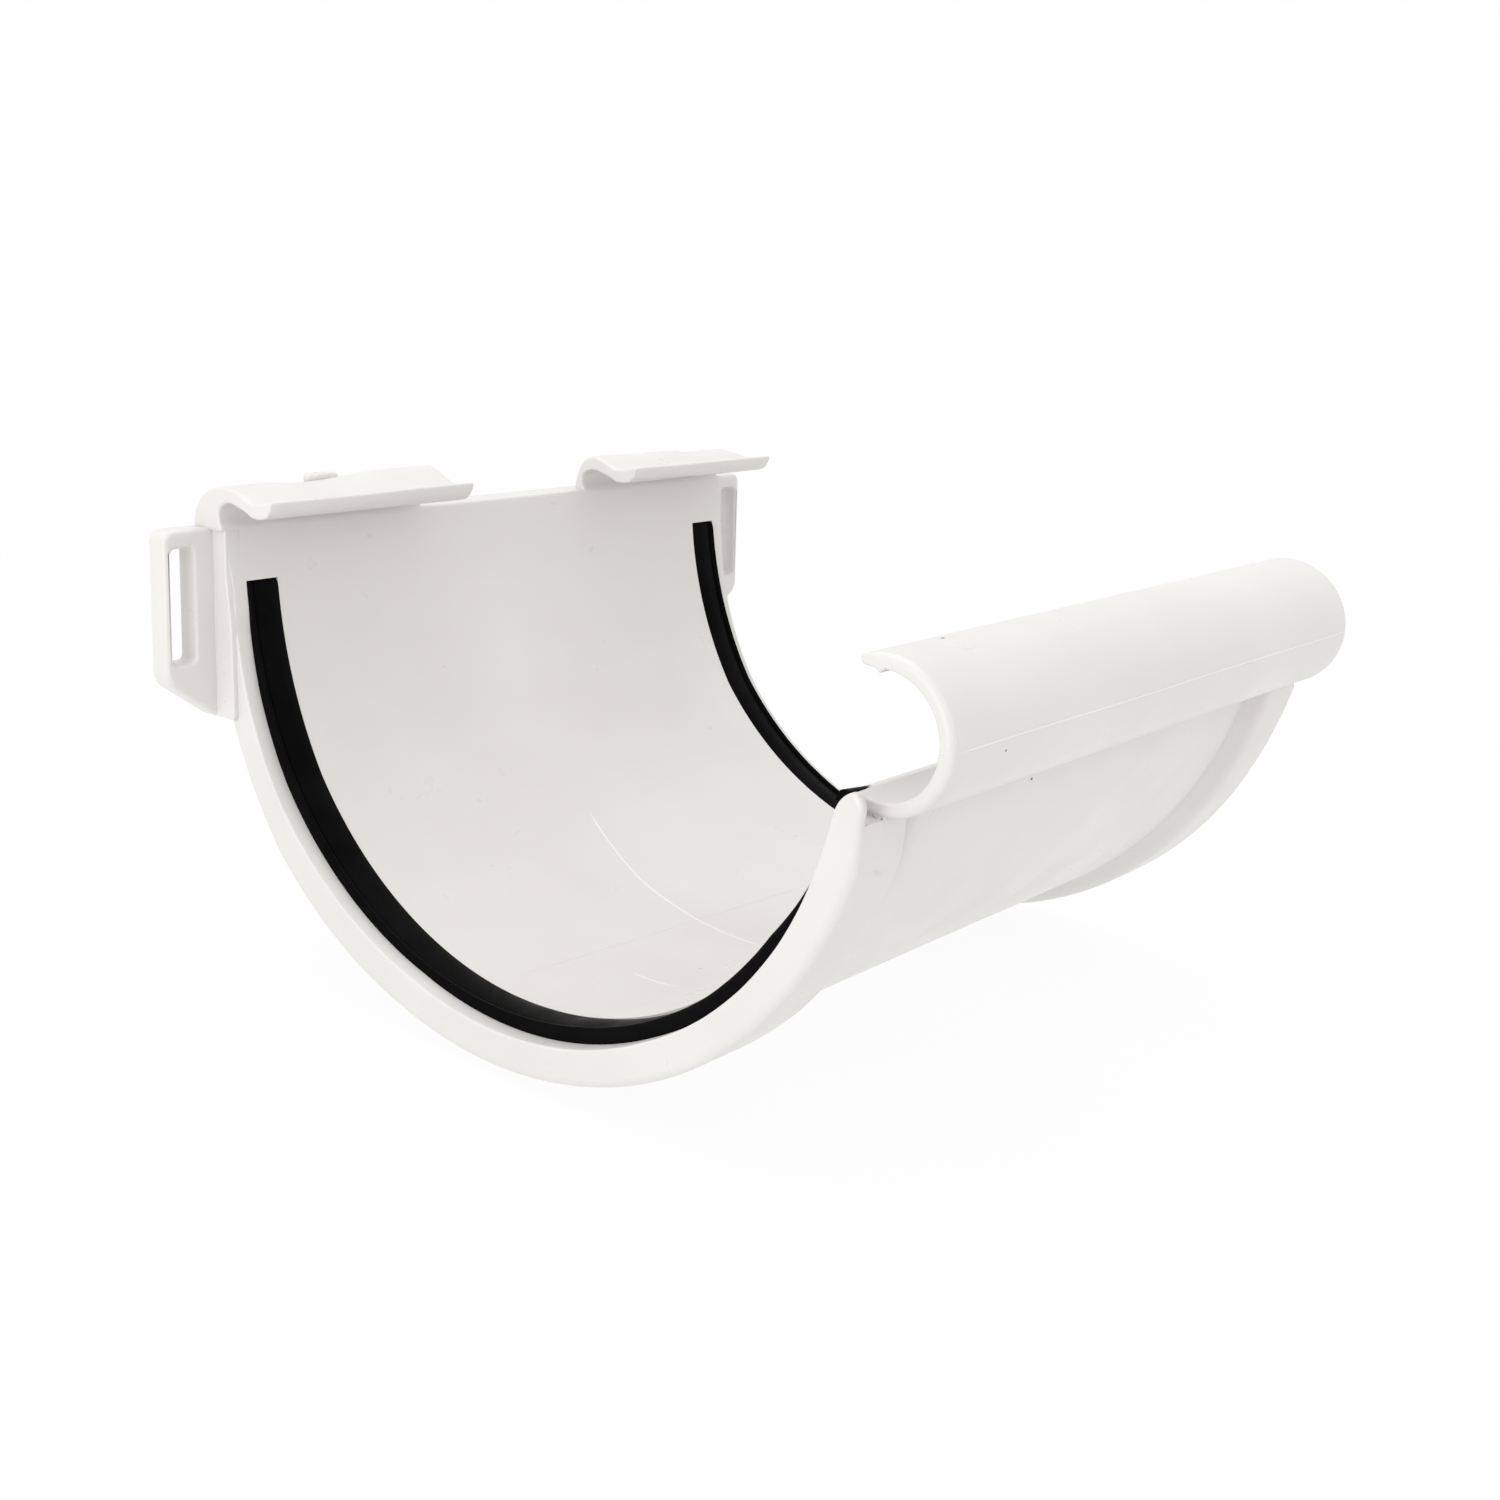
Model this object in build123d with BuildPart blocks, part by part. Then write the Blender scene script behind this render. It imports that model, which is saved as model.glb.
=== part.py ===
from build123d import *
import math
import os

os.makedirs("parts", exist_ok=True)

# Gutter union: a half-round moulded socket piece that joins two lengths of
# half-round gutter. X runs along the gutter, +Y points to the fascia board,
# Z is up. The origin is on the trough axis at mid-length.

# trough
HALF_LEN = 60.5        # end faces at X = +/- this
R_IN = 63.0            # inner radius of the socket, for a 125 mm gutter
R_BODY = 68.2          # outer radius of the shell
R_COLLAR = 70.5        # outer radius of the end collars
WALL_TOP = 2.9         # top of the upright back wall
WALL_REAR = 69.4       # rear of the back wall between the two clips
COLLAR_ROUND = 1.3     # rounding of the collar's outer end edge
COLLAR_T = 12.0        # length of a collar before its groove is cut
GROOVE_T = 12.6        # distance of the relief groove from the end face
GROOVE_R = 2.4         # radius of the relief groove
LIP_R = 64.3           # inner radius of the widened lip at each end

# seals
SEAL_T0 = 2.8          # seal starts this far from the end face, where the lip ends
SEAL_T1 = 9.0          # and ends here
SEAL_BOTTOM_R = 65.9   # bottom of the groove that holds the seal
SEAL_CROWN_R = 62.6    # crown of the seal
SEAL_TOP_DEG = 5.9     # start of the seal below the horizontal, at the back
SEAL_END_DEG = 163.6   # end of the seal, below the front crest

# front bead, a C open towards the trough, set back from the end faces
BEAD_HALF = 55.85
BEAD_Y, BEAD_Z = -66.2, -8.7
BEAD_RO, BEAD_RI = 10.17, 8.17
CREST_Z = -14.9        # top of the end rim in front of the bead
RIM_T = 1.1            # thickness of that raised rim along X
SEAT_R = 10.35         # hollow between the rim and the bead
LIP_Y = -63.0          # tip of the bead's lip
PART_LINE = 0.2

# fascia side
REAR_Y = 70.9          # mounting plane of the ears and clips
EAR_FRONT_Y = 66.4
EAR_X = 71.1           # outer edge of an ear, before the shift along X
BACK_X = 1.2           # shift of clips, plates and ears towards +X
EAR_TOP, EAR_BOTTOM = 2.4, -29.5
EAR_SHOULDER = -22.8
SLOT_X, SLOT_W = 67.7, 4.2
SLOT_TOP, SLOT_LOW = -0.6, -19.8
PLATE_X0, PLATE_X1 = 50.0, 61.9
PLATE_FRONT_Y = 61.4

# back clips
CLIP_LEFT, CLIP_RIGHT = -19.2, 21.6   # their inner ends
CLIP_END = 61.4        # and their outer ends, at X = +/- this
CLIP_WEB = 50.0        # from here outwards a clip is solid back to the mounting plane
CLIP_BACK_Y = 65.5     # rear of the thin sheet elsewhere
CLIP_FOOT_Z = 1.9      # foot of that backing

# stub left by the mould on top of the left clip
STUB_X, STUB_Y = -42.6, 62.2


def polar(radius, degrees):
    a = math.radians(degrees)
    return (radius * math.cos(a), radius * math.sin(a))


# points of the cross-section, as (Y, Z)
crest_start = polar(R_IN, -163.9)
crest_end = (BEAD_Y + BEAD_RI * math.cos(math.radians(68)), BEAD_Z - BEAD_RI * math.sin(math.radians(68)))
nub_a = (-66.3, BEAD_Z + math.sqrt(BEAD_RI**2 - (-66.3 - BEAD_Y) ** 2))
nub_b = (-65.0, BEAD_Z + math.sqrt(BEAD_RI**2 - (-65.0 - BEAD_Y) ** 2))
lip_in = (LIP_Y, -0.4)
lip_out = (LIP_Y, BEAD_Z + math.sqrt(BEAD_RO**2 - (LIP_Y - BEAD_Y) ** 2))
# where the outer bead circle meets the shell's outer circle
_d = math.hypot(BEAD_Y, BEAD_Z)
_a = (R_BODY**2 - BEAD_RO**2 + _d**2) / (2 * _d)
_h = math.sqrt(R_BODY**2 - _a**2)
_u = (BEAD_Y / _d, BEAD_Z / _d)
junction = min(
    ((_a * _u[0] - _h * _u[1], _a * _u[1] + _h * _u[0]),
     (_a * _u[0] + _h * _u[1], _a * _u[1] - _h * _u[0])),
    key=lambda q: q[1],
)
back_low = polar(R_BODY, -9)
collar_low = polar(R_COLLAR, -9)
rim_in = polar(R_IN, -164.2)
rim_out = polar(R_COLLAR, -162.0)

# back clip, a thin hooked sheet that snaps over the gutter's rear edge
with BuildSketch(Plane.YZ) as strip:
    with BuildLine():
        Spline(
            (CLIP_BACK_Y, WALL_TOP), (65.3, 4.9), (64.75, 6.45), (63.75, 7.9), (62.4, 8.98),
            (60.9, 9.38), (59.3, 9.2), (57.3, 8.63), (55.9, 8.05), (54.3, 7.6), (53.0, 7.6),
            (50.6, 7.98), (49.2, 8.3),
        )
        ThreePointArc((49.2, 8.3), (48.9, 8.12), (49.0, 7.75))
        Spline(
            (49.0, 7.75), (49.35, 6.85), (49.9, 6.1), (50.7, 5.5), (51.9, 5.17),
            (53.3, 5.08), (54.4, 5.17), (55.3, 5.5), (56.6, 6.03), (58.2, 6.46),
            (59.6, 6.83), (60.7, 6.93), (61.6, 6.78), (62.6, 6.35),
        )
        ThreePointArc((62.6, 6.35), (63.5, 5.5), (63.7, 4.4))
        Line((63.7, 4.4), (R_IN, WALL_TOP))
        Line((R_IN, WALL_TOP), (R_IN + 0.6, WALL_TOP - 1.0))
        Line((R_IN + 0.6, WALL_TOP - 1.0), (CLIP_BACK_Y, WALL_TOP - 1.0))
        Line((CLIP_BACK_Y, WALL_TOP - 1.0), (CLIP_BACK_Y, WALL_TOP))
    make_face()

# solid backing of a clip near its outer end
with BuildSketch(Plane.YZ) as backing:
    with BuildLine():
        Spline(
            (REAR_Y, 2.8), (70.55, 4.7), (69.6, 6.3), (68.4, 7.55), (67.2, 8.44),
            (65.7, 8.98), (64.3, 9.32), (62.6, 9.42), (60.9, 9.3),
        )
        Line((60.9, 9.3), (61.2, 7.4))
        Line((61.2, 7.4), (63.8, 6.6))
        Line((63.8, 6.6), (64.2, 4.0))
        Line((64.2, 4.0), (64.2, CLIP_FOOT_Z))
        Line((64.2, CLIP_FOOT_Z), (REAR_Y, CLIP_FOOT_Z))
        Line((REAR_Y, CLIP_FOOT_Z), (REAR_Y, 2.8))
    make_face()

# one seal, a rubber strip with a crown and a small lip beside it
with BuildPart() as seal:
    with BuildSketch(Plane.XY.rotated((-SEAL_TOP_DEG, 0, 0))):
        with BuildLine():
            Line((HALF_LEN - SEAL_T0, SEAL_BOTTOM_R), (HALF_LEN - SEAL_T0, 62.9))
            ThreePointArc((HALF_LEN - SEAL_T0, 62.9), (HALF_LEN - SEAL_T0 - 0.55, 62.4),
                          (HALF_LEN - SEAL_T0 - 1.0, 62.8))
            Line((HALF_LEN - SEAL_T0 - 1.0, 62.8), (HALF_LEN - SEAL_T0 - 1.15, 63.2))
            ThreePointArc((HALF_LEN - SEAL_T0 - 1.15, 63.2),
                          ((2 * HALF_LEN - SEAL_T0 - 1.15 - SEAL_T1) / 2, SEAL_CROWN_R),
                          (HALF_LEN - SEAL_T1, 63.05))
            Line((HALF_LEN - SEAL_T1, 63.05), (HALF_LEN - SEAL_T1, SEAL_BOTTOM_R))
            Line((HALF_LEN - SEAL_T1, SEAL_BOTTOM_R), (HALF_LEN - SEAL_T0, SEAL_BOTTOM_R))
        make_face()
    revolve(axis=Axis((0, 0, 0), (-1, 0, 0)), revolution_arc=SEAL_END_DEG - SEAL_TOP_DEG)

with BuildPart() as union_body:
    # half-round shell, upright back wall, front crest and C-shaped bead
    with BuildSketch(Plane.YZ):
        with BuildLine():
            Line((R_IN, WALL_TOP), (R_IN, 0))
            ThreePointArc((R_IN, 0), polar(R_IN, -82), crest_start)
            ThreePointArc(crest_start, (-61.5, -16.5), crest_end)
            ThreePointArc(crest_end, (BEAD_Y - BEAD_RI, BEAD_Z), nub_a)
            ThreePointArc(nub_a, ((nub_a[0] + nub_b[0]) / 2, nub_b[1] - 0.5), nub_b)
            Line(nub_b, lip_in)
            ThreePointArc(lip_in, (LIP_Y + 0.35, (lip_in[1] + lip_out[1]) / 2), lip_out)
            ThreePointArc(lip_out, (BEAD_Y - BEAD_RO, BEAD_Z), junction)
            ThreePointArc(junction, polar(R_BODY, -90), back_low)
            Line(back_low, (WALL_REAR, -3.2))
            Line((WALL_REAR, -3.2), (WALL_REAR, WALL_TOP))
            Line((WALL_REAR, WALL_TOP), (R_IN, WALL_TOP))
        make_face()
    extrude(amount=BEAD_HALF, both=True)

    # raised parting line along the outside of the bead
    with BuildSketch(Plane.YZ):
        with Locations((BEAD_Y - BEAD_RO, BEAD_Z + 0.3)):
            Rectangle(2 * PART_LINE, 0.5)
    extrude(amount=BEAD_HALF, both=True)

    for side in (-1, 1):
        # end band: the collar with its own rounded top, clear of the bead
        with BuildSketch(Plane.YZ.offset(side * BEAD_HALF)):
            with BuildLine():
                Line((R_IN, WALL_TOP), (R_IN, 0))
                ThreePointArc((R_IN, 0), polar(R_IN, -82), rim_in)
                Line(rim_in, (-62.6, -17.6))
                ThreePointArc((-62.6, -17.6), (-63.75, -15.9), (-65.7, CREST_Z))
                ThreePointArc((-65.7, CREST_Z), (-66.75, -15.6), (-67.15, -17.4))
                Line((-67.15, -17.4), rim_out)
                ThreePointArc(rim_out, polar(R_COLLAR, -90), collar_low)
                Line(collar_low, (WALL_REAR, -3.2))
                Line((WALL_REAR, -3.2), (WALL_REAR, WALL_TOP))
                Line((WALL_REAR, WALL_TOP), (R_IN, WALL_TOP))
            make_face()
        extrude(amount=side * (HALF_LEN - BEAD_HALF))
        # rest of the collar, running under the bead
        with BuildSketch(Plane.XY):
            with Locations((side * (HALF_LEN - (COLLAR_T + 3.0) / 2), (66.5 + R_COLLAR) / 2)):
                Rectangle(COLLAR_T - 3.0, R_COLLAR - 66.5)
        revolve(axis=Axis((0, 0, 0), (-1, 0, 0)), revolution_arc=164.9)
        # rounded outer end edge
        with BuildSketch(Plane.XY):
            with BuildLine():
                RadiusArc((side * HALF_LEN, R_COLLAR - COLLAR_ROUND),
                          (side * (HALF_LEN - COLLAR_ROUND), R_COLLAR),
                          -side * COLLAR_ROUND)
                Polyline((side * (HALF_LEN - COLLAR_ROUND), R_COLLAR),
                         (side * (HALF_LEN - COLLAR_ROUND), R_COLLAR + 1.0),
                         (side * (HALF_LEN + 1.0), R_COLLAR + 1.0),
                         (side * (HALF_LEN + 1.0), R_COLLAR - COLLAR_ROUND),
                         (side * HALF_LEN, R_COLLAR - COLLAR_ROUND))
            make_face()
        revolve(axis=Axis((0, 0, 0), (-1, 0, 0)), revolution_arc=178, mode=Mode.SUBTRACT)
        # relief groove between collar and shell
        with BuildSketch(Plane.XY.rotated((-1, 0, 0))):
            with Locations((side * (HALF_LEN - GROOVE_T), R_COLLAR - 1.0)):
                Circle(GROOVE_R)
        revolve(axis=Axis((0, 0, 0), (-1, 0, 0)), revolution_arc=162.4, mode=Mode.SUBTRACT)

    # hollow between the raised rim and the bead
    for side in (-1, 1):
        with BuildSketch(Plane.YZ.offset(side * BEAD_HALF)):
            with Locations((BEAD_Y, BEAD_Z)):
                Circle(SEAT_R)
        extrude(amount=side * (HALF_LEN - RIM_T - BEAD_HALF), mode=Mode.SUBTRACT)

    # end plates behind the rim
    with BuildSketch(Plane.YZ.offset(PLATE_X0 + BACK_X)):
        with BuildLine():
            Polyline((R_IN, EAR_TOP), (REAR_Y, EAR_TOP), (REAR_Y, EAR_BOTTOM),
                     (PLATE_FRONT_Y, EAR_BOTTOM), (PLATE_FRONT_Y, -14.0), (R_IN, -5.0),
                     (R_IN, EAR_TOP))
        make_face()
    extrude(amount=PLATE_X1 - PLATE_X0)
    with BuildSketch(Plane.YZ.offset(-PLATE_X0 + BACK_X)):
        with BuildLine():
            Polyline((R_IN, EAR_TOP), (REAR_Y, EAR_TOP), (REAR_Y, EAR_BOTTOM),
                     (PLATE_FRONT_Y, EAR_BOTTOM), (PLATE_FRONT_Y, -14.0), (R_IN, -5.0),
                     (R_IN, EAR_TOP))
        make_face()
    extrude(amount=-(PLATE_X1 - PLATE_X0))

    # fixing ears
    for side in (-1, 1):
        with BuildSketch(Plane(origin=(BACK_X, REAR_Y, 0), x_dir=(1, 0, 0), z_dir=(0, -1, 0))) as ear:
            with BuildLine():
                Polyline((side * 56.0, EAR_TOP), (side * EAR_X, EAR_TOP),
                         (side * EAR_X, EAR_SHOULDER), (side * PLATE_X1, EAR_BOTTOM),
                         (side * 56.0, EAR_BOTTOM), (side * 56.0, EAR_TOP))
            make_face()
            fillet(ear.vertices().filter_by(
                lambda v: abs(v.X) > EAR_X - 0.1 and v.Z > 0), radius=1.8)
            fillet(ear.vertices().filter_by(
                lambda v: abs(v.X) > EAR_X - 0.1 and v.Z < EAR_SHOULDER + 0.1), radius=3.5)
        extrude(amount=REAR_Y - EAR_FRONT_Y)

    # back clips
    for side, inner_end in ((-1, CLIP_LEFT), (1, CLIP_RIGHT)):
        with BuildSketch(Plane.YZ.offset(inner_end)):
            add(strip.sketch_local)
        extrude(amount=side * CLIP_END - inner_end)
        with BuildSketch(Plane.YZ.offset(side * CLIP_WEB)):
            add(backing.sketch_local)
        extrude(amount=side * (CLIP_END - CLIP_WEB))

    # inside of the trough is kept clear
    with BuildSketch(Plane.YZ):
        with BuildLine():
            l = Line((R_IN, 0), (0, 0))
            Line((0, 0), crest_start)
            ThreePointArc(crest_start, polar(R_IN, -82), (R_IN, 0))
        make_face()
    extrude(amount=HALF_LEN + 5, both=True, mode=Mode.SUBTRACT)

    # grooves that hold the seals, and the widened lip at each end
    for side in (-1, 1):
        with BuildSketch(Plane.XY.rotated((-SEAL_TOP_DEG, 0, 0))):
            with Locations((side * (HALF_LEN - (SEAL_T0 + SEAL_T1) / 2), (SEAL_BOTTOM_R + 60) / 2)):
                Rectangle(SEAL_T1 - SEAL_T0, SEAL_BOTTOM_R - 60)
        revolve(axis=Axis((0, 0, 0), (-1, 0, 0)),
                revolution_arc=SEAL_END_DEG + 0.5 - SEAL_TOP_DEG, mode=Mode.SUBTRACT)
        with BuildSketch(Plane.XY.rotated((-13, 0, 0))):
            with Locations((side * (HALF_LEN - (SEAL_T0 - 3) / 2), (LIP_R + 60) / 2)):
                Rectangle(SEAL_T0 + 3, LIP_R - 60)
        revolve(axis=Axis((0, 0, 0), (-1, 0, 0)), revolution_arc=157, mode=Mode.SUBTRACT)

    # upright slots for the fixing screws
    for side in (-1, 1):
        with BuildSketch(Plane.XZ.offset(-REAR_Y - 1)):
            with Locations((BACK_X + side * SLOT_X, (SLOT_TOP + SLOT_LOW) / 2)):
                RectangleRounded(SLOT_W, SLOT_TOP - SLOT_LOW, 1.0)
        extrude(amount=REAR_Y - EAR_FRONT_Y + 2, mode=Mode.SUBTRACT)

    # moulding stub left on top of one clip
    with BuildSketch(Plane.XY.offset(8.0)):
        with Locations((STUB_X, STUB_Y)):
            RectangleRounded(6.8, 2.2, 1.0)
    extrude(amount=2.8)

union_body.part.label = "union_body"
export_step(union_body.part, "parts/union_body.step")

seal.part.label = "seal_right"
export_step(seal.part, "parts/seal_right.step")

with BuildPart() as seal_left:
    add(mirror(seal.part, about=Plane.YZ, mode=Mode.PRIVATE))
seal_left.part.label = "seal_left"
export_step(seal_left.part, "parts/seal_left.step")
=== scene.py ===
import math

import bmesh
import bpy
import numpy as np
from mathutils import Matrix, Vector


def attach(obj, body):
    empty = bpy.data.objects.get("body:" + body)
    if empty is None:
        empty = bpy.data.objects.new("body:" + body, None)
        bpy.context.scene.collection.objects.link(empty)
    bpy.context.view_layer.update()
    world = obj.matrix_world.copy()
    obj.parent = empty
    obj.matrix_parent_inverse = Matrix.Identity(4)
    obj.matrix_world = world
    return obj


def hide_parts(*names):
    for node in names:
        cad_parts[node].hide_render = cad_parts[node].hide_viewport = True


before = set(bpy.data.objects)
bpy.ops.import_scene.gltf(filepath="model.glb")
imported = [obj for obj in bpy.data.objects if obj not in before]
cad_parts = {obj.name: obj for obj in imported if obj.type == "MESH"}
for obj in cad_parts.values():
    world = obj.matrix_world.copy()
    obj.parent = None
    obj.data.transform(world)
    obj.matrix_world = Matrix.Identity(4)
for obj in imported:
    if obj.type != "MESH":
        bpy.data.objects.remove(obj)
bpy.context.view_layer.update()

MM = 0.001

# ---------------------------------------------------------------- sizes, mm
HALF = 60.5
R_IN, R_BODY, R_COLLAR = 63.0, 68.2, 70.5
WALL_TOP, WALL_REAR = 2.9, 69.4
SEAL_T0, SEAL_T1, SEAL_R = 2.8, 9.0, 65.9
RIM_T, SEAT_T, SEAT_R = 1.1, 4.95, 10.35
SEAL_TOP, SEAL_END = -5.9, -163.6
BEAD = (-66.2, -8.7)
BEAD_RO, BEAD_RI = 10.17, 8.17
BEAD_HALF = 55.85
CREST_Z = -14.9
LIP_Y = -63.0
REAR_Y, EAR_FRONT = 70.9, 66.4
EAR_X, PLATE_X, BACK_X = 71.1, 61.9, 1.2
EAR_TOP, EAR_LOW, EAR_SHOULDER = 2.4, -29.5, -22.8
SLOT_X, SLOT_W, SLOT_TOP, SLOT_LOW = 67.7, 4.2, -0.6, -19.8
CLIP_LEFT, CLIP_RIGHT, CLIP_WEB = (-19.2, -61.4), (21.6, 61.4), 50.0


# ------------------------------------------------------------ 2-D helpers
def polar(r, deg):
    a = math.radians(deg)
    return (r * math.cos(a), r * math.sin(a))


def arc(center, r, a0, a1, n):
    a = np.radians(np.linspace(a0, a1, n))
    return np.column_stack([center[0] + r * np.cos(a), center[1] + r * np.sin(a)])


def smooth_line(points, n):
    """n points on a Catmull-Rom curve through the points."""
    p = np.array(points, float)
    p = np.vstack([2 * p[0] - p[1], p, 2 * p[-1] - p[-2]])
    seg = len(p) - 3
    out = []
    for u in np.linspace(0, seg, n):
        i = min(int(u), seg - 1)
        t = u - i
        a, b, c, d = p[i], p[i + 1], p[i + 2], p[i + 3]
        out.append(0.5 * (2 * b + (c - a) * t + (2 * a - 5 * b + 4 * c - d) * t * t
                          + (3 * b - 3 * c + d - a) * t ** 3))
    return np.array(out)


def rounded(points, radii, n=6):
    """A closed polygon with its corners rounded."""
    p = [np.array(q, float) for q in points]
    out = []
    for i, (b, r) in enumerate(zip(p, radii)):
        a, c = p[i - 1], p[(i + 1) % len(p)]
        if r <= 0:
            out.append(b)
            continue
        u, v = (a - b) / np.linalg.norm(a - b), (c - b) / np.linalg.norm(c - b)
        half = math.acos(max(-1, min(1, float(u @ v)))) / 2
        d = r / math.tan(half)
        m = b + (u + v) / np.linalg.norm(u + v) * (r / math.sin(half))
        s, e = b + u * d, b + v * d
        a0 = math.atan2(*(s - m)[::-1])
        a1 = math.atan2(*(e - m)[::-1])
        while a1 - a0 > math.pi:
            a1 -= 2 * math.pi
        while a1 - a0 < -math.pi:
            a1 += 2 * math.pi
        for t in np.linspace(a0, a1, n):
            out.append(m + r * np.array([math.cos(t), math.sin(t)]))
    return np.array(out)


def outward(p):
    """Outward normals of a closed polygon, long enough to keep a mitre."""
    area = 0.5 * np.sum(p[:, 0] * np.roll(p[:, 1], -1) - np.roll(p[:, 0], -1) * p[:, 1])
    e = np.roll(p, -1, 0) - p
    e /= np.maximum(np.linalg.norm(e, axis=1), 1e-9)[:, None]
    n = np.column_stack([e[:, 1], -e[:, 0]]) * (1 if area > 0 else -1)
    m = n + np.roll(n, 1, 0)
    m /= np.maximum(np.linalg.norm(m, axis=1), 1e-9)[:, None]
    k = np.clip(np.sum(m * n, axis=1), 0.6, 1)
    return m / k[:, None]


# ----------------------------------------------------------- mesh helpers
class Builder:
    def __init__(self):
        self.v, self.f, self.sharp = [], [], []

    def ring(self, p):
        start = len(self.v)
        self.v.extend([tuple(q) for q in p])
        return list(range(start, start + len(p)))

    def join(self, a, b, closed=True):
        n = len(a)
        for i in range(n if closed else n - 1):
            j = (i + 1) % n
            self.f.append((a[i], a[j], b[j], b[i]))

    def cap(self, ids, flip=False):
        self.f.append(tuple(reversed(ids)) if flip else tuple(ids))
        for i in range(len(ids)):
            self.sharp.append((ids[i], ids[(i + 1) % len(ids)]))

    def loft(self, rings, capped=True):
        ids = [self.ring(r) for r in rings]
        for a, b in zip(ids, ids[1:]):
            self.join(a, b)
        if capped:
            self.cap(ids[0], flip=True)
            self.cap(ids[-1])
        return ids


def make_object(name, builder, material, angle=38):
    mesh = bpy.data.meshes.new(name)
    mesh.from_pydata([(x * MM, y * MM, z * MM) for x, y, z in builder.v], [], builder.f)
    mesh.update()
    bm = bmesh.new()
    bm.from_mesh(mesh)
    bm.verts.ensure_lookup_table()
    for a, b in builder.sharp:
        e = bm.edges.get((bm.verts[a], bm.verts[b]))
        if e:
            e.smooth = False
    bmesh.ops.recalc_face_normals(bm, faces=bm.faces)
    big = [f for f in bm.faces if len(f.verts) > 4]
    bmesh.ops.triangulate(bm, faces=big, ngon_method="EAR_CLIP")
    limit = math.radians(angle)
    for f in bm.faces:
        f.smooth = True
    for e in bm.edges:
        if len(e.link_faces) == 2 and e.calc_face_angle(0) > limit:
            e.smooth = False
    bm.to_mesh(mesh)
    bm.free()
    obj = bpy.data.objects.new(name, mesh)
    bpy.context.collection.objects.link(obj)
    mesh.materials.append(material)
    return obj


def rounding(steps=7):
    """Pairs (along, inset) of a quarter round, as fractions of its radius."""
    for a in np.linspace(0, math.pi / 2, steps):
        yield 1 - math.cos(a), 1 - math.sin(a)


def bar_x(b, outline, x0, x1, rho, move=None, mids=()):
    """A bar along X with the outline given in (Y, Z) and rounded ends."""
    n = outward(outline)
    rho = np.broadcast_to(rho, (len(outline),)).astype(float)
    rings = []
    s = 1 if x1 > x0 else -1
    for along, inset in rounding():
        p = outline - n * (rho * inset)[:, None]
        rings.append(np.column_stack([x0 + s * rho * along, p]))
    for x in mids:
        rings.append(np.column_stack([np.full(len(outline), x), outline]))
    for along, inset in list(rounding())[::-1]:
        p = outline - n * (rho * inset)[:, None]
        rings.append(np.column_stack([x1 - s * rho * along, p]))
    if move is not None:
        rings = [move(r) for r in rings]
    b.loft(rings)


# ------------------------------------------------------- main cross-section
def outer_radius(t):
    """Outer radius at distance t from an end face: collar, relief groove, shell."""
    ts = [0, 9.3, 9.8, 10.2, 10.5, 10.8, 11.1, 11.5, 12.0, 12.6, 13.2, 13.8, 14.3, 14.8, 15.4, 90]
    rs = [70.5, 70.5, 70.42, 70.2, 69.85, 69.3, 68.6, 67.9, 67.35, 67.12, 67.2, 67.5, 67.85, 68.08, 68.2, 68.2]
    return float(np.interp(t, ts, rs))


def lip_radius(deg):
    """Inner radius of the widened lip at each end, by angle below the back."""
    d = [-180, -164, -156, -152, -146, -138, -130, -126, -119, -110, -99, -88, -75, -61, -46, -33, -23, -13, -10, 0]
    r = [65.3, 65.3, 65.7, 65.9, 66.1, 66.1, 65.9, 65.7, 65.3, 65.0, 64.6, 64.2, 63.8, 64.0, 64.2, 64.3, 64.1, 63.4, 63.0, 63.0]
    return np.interp(deg, d, r)


def collar_swell(deg, side):
    """How far the moulded collar strays from a true circle, by angle."""
    d = [-180, -164.2, -159, -150, -145, -136, -122, -111, -104, -90, -75, -60, -46, -33, -25, -9, 0]
    if side < 0:
        r = [-1.0, -1.0, 0.4, 0.6, 0.7, 0.8, 0.45, 0.1, -0.15, -0.45, -0.6, -0.2, 0.2, 0.35, 0.3, 0.0, 0.0]
    else:
        r = [-0.4, -0.4, -0.2, 0.0, 0.25, 0.55, 0.75, 0.65, 0.45, 0.0, 0.0, 0.0, 0.0, 0.0, 0.0, 0.0, 0.0]
    return np.interp(deg, d, r)


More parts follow.
